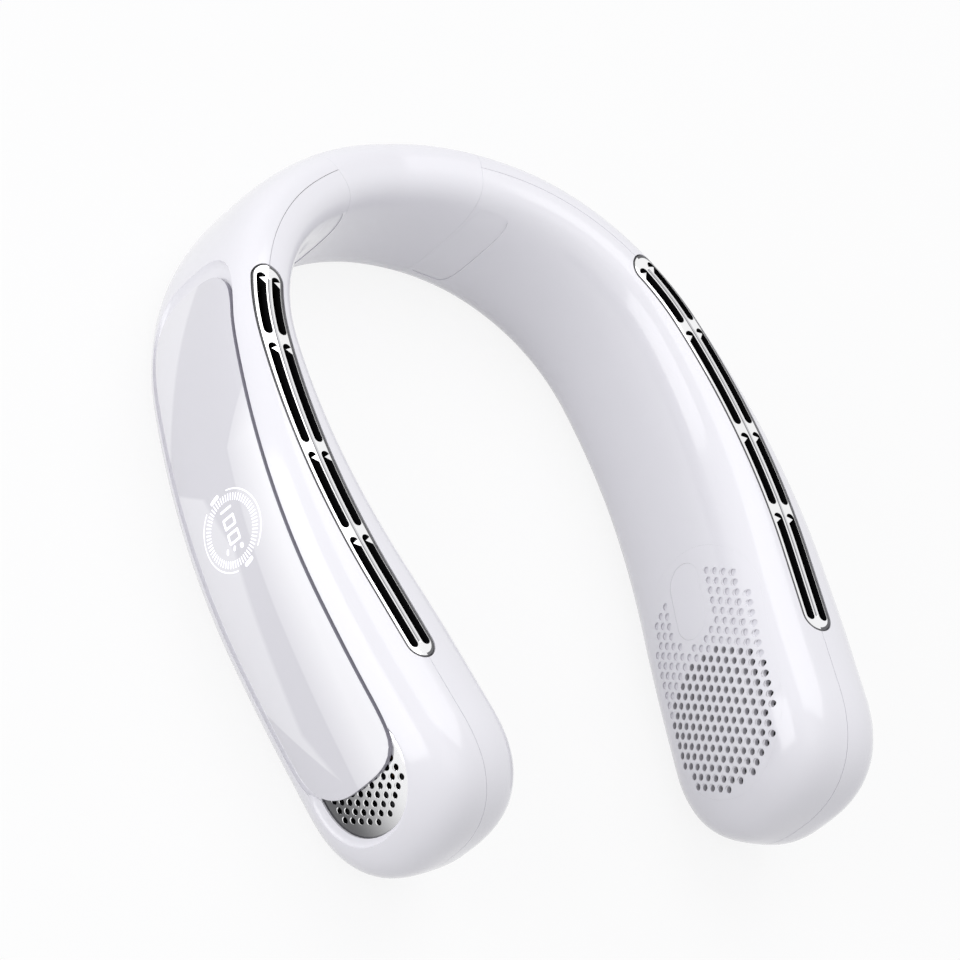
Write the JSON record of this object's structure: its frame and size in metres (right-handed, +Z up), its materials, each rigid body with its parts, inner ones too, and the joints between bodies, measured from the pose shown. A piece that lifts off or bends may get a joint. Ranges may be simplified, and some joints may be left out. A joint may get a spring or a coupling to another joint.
{
  "type": "electric neck fan",
  "caption": "U-shaped bladeless neck fan: hinged arms with vent strips, intake grilles and hidden impellers, joined by a soft sleeve, with a push button and a lit dial.",
  "frame": {"origin": "middle of the bounding box at the level of the underside", "axes": "+Z up, +Y towards the back of the neck, the arms open towards -Y and +X is the right arm"},
  "size_m": [0.1944, 0.2182, 0.0597],
  "materials": {
    "body_gloss": "glossy white",
    "cover_gloss": "glossy pale grey",
    "button_gloss": "satin white",
    "soft_sleeve": "smooth silicone",
    "bright_trim": "polished",
    "black_plastic": "matt",
    "steel": "satin",
    "motor_core": "wound wire",
    "magnet": "dull",
    "cell": "shrink wrap",
    "board": "solder mask",
    "light_guide": "clear"
  },
  "bodies": {
    "neck_band": {"neck_sleeve": "soft_sleeve", "hinge_link": "black_plastic", "hinge_pins": "steel"},
    "left_arm": {"left_vent_strip": "bright_trim", "left_vent_duct": "black_plastic", "left_side_cover": "cover_gloss", "left_intake_grille": "bright_trim", "left_motor_bracket": "black_plastic", "left_motor_bearings": "steel", "left_motor_stator": "motor_core", "left_fan_scroll": "black_plastic", "left_battery": "cell", "left_battery_cradle": "black_plastic", "left_arm_screws": "steel", "left_hinge_leaf": "steel", "left_hinge_cover": "body_gloss", "left_outer_shell": "body_gloss", "left_inner_shell": "body_gloss", "left_intake_panel": "body_gloss", "display_guide": "light_guide", "display_board": "board"},
    "right_arm": {"right_vent_strip": "bright_trim", "right_vent_duct": "black_plastic", "right_side_cover": "cover_gloss", "right_intake_grille": "bright_trim", "right_motor_bracket": "black_plastic", "right_motor_bearings": "steel", "right_motor_stator": "motor_core", "right_fan_scroll": "black_plastic", "right_battery": "cell", "right_battery_cradle": "black_plastic", "right_arm_screws": "steel", "right_hinge_leaf": "steel", "right_hinge_cover": "body_gloss", "right_outer_shell": "body_gloss", "right_inner_shell": "body_gloss", "right_intake_panel": "body_gloss", "button_switch": "black_plastic", "control_board": "board", "charge_socket": "steel", "charge_board": "board"},
    "left_fan": {"left_impeller": "black_plastic", "left_rotor_magnet": "magnet", "left_motor_shaft": "steel"},
    "right_fan": {"right_impeller": "black_plastic", "right_rotor_magnet": "magnet", "right_motor_shaft": "steel"},
    "power_button": {"power_button": "button_gloss"}
  },
  "joints": [
    {"name": "left_arm_hinge", "type": "hinge", "parent": "neck_band", "child": "left_arm", "pos_m": [-0.01984, 0.09582, 0.02295], "axis": [0, 0, -1], "range_deg": [0, 12], "stiffness_Nm_per_rad": 0.5, "deforming": ["neck_sleeve"]},
    {"name": "right_arm_hinge", "type": "hinge", "parent": "neck_band", "child": "right_arm", "pos_m": [0.01984, 0.09582, 0.02295], "axis": [0, 0, 1], "range_deg": [0, 12], "stiffness_Nm_per_rad": 0.5, "deforming": ["neck_sleeve"]},
    {"name": "left_fan_spin", "type": "hinge", "parent": "left_arm", "child": "left_fan", "pos_m": [-0.07007, -0.07749, 0.03181], "axis": [-0.9863, -0.165, 0], "continuous": true},
    {"name": "right_fan_spin", "type": "hinge", "parent": "right_arm", "child": "right_fan", "pos_m": [0.07007, -0.07749, 0.03181], "axis": [0.9863, -0.165, 0], "continuous": true},
    {"name": "power_button_press", "type": "slide", "parent": "right_arm", "child": "power_button", "axis": [0.9863, -0.165, 0], "range_m": [0, 0.0006], "stiffness_N_per_m": 1500}
  ]
}
